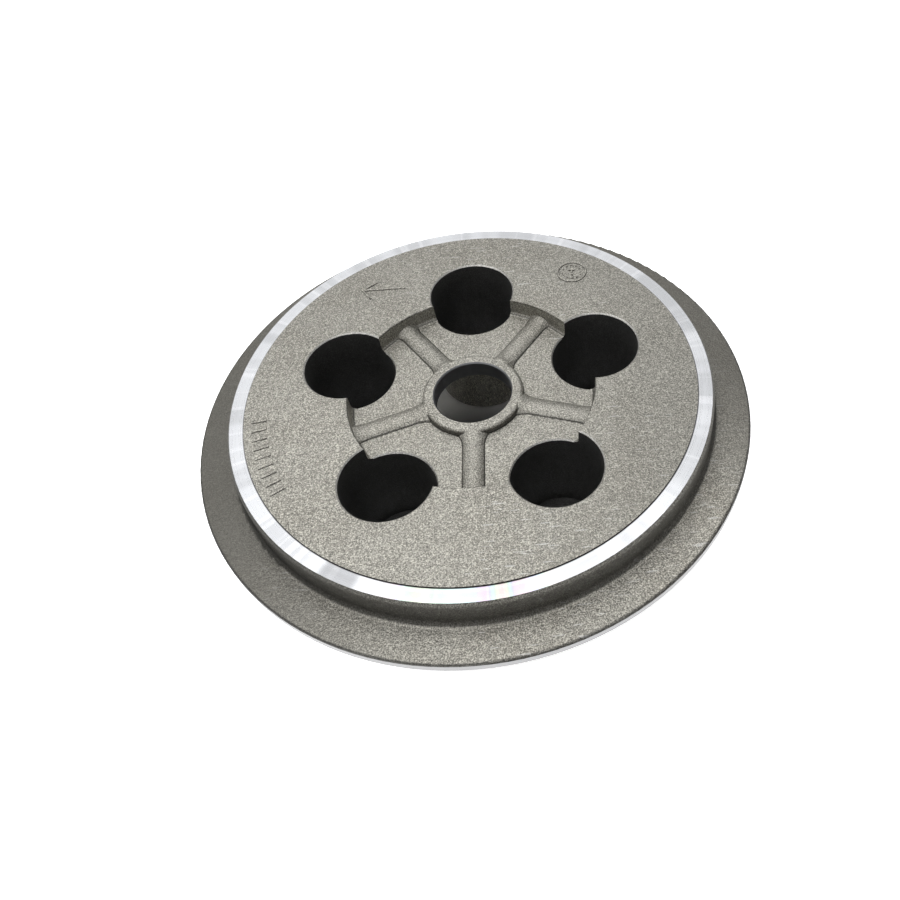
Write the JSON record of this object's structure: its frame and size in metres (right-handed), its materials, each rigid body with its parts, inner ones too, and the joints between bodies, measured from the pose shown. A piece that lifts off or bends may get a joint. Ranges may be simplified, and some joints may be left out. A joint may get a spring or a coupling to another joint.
{
  "type": "clutch pressure plate",
  "caption": "Round cast clutch pressure plate: flat friction flange, raised platform, ribbed recess, bored hub and deep spring cups.",
  "frame": {"origin": "on the bore's axis, in the plane of the spring cups' feet, on which the plate stands", "axes": "+Z along the bore's axis, out of the spring side; +Y through the first spring pocket"},
  "size_m": [0.112, 0.112, 0.027],
  "materials": {
    "cast_aluminium": "grit-blasted die casting with turned ring, rim, bore and friction face"
  },
  "bodies": {
    "root": {"pressure_plate": "cast_aluminium"}
  },
  "joints": []
}
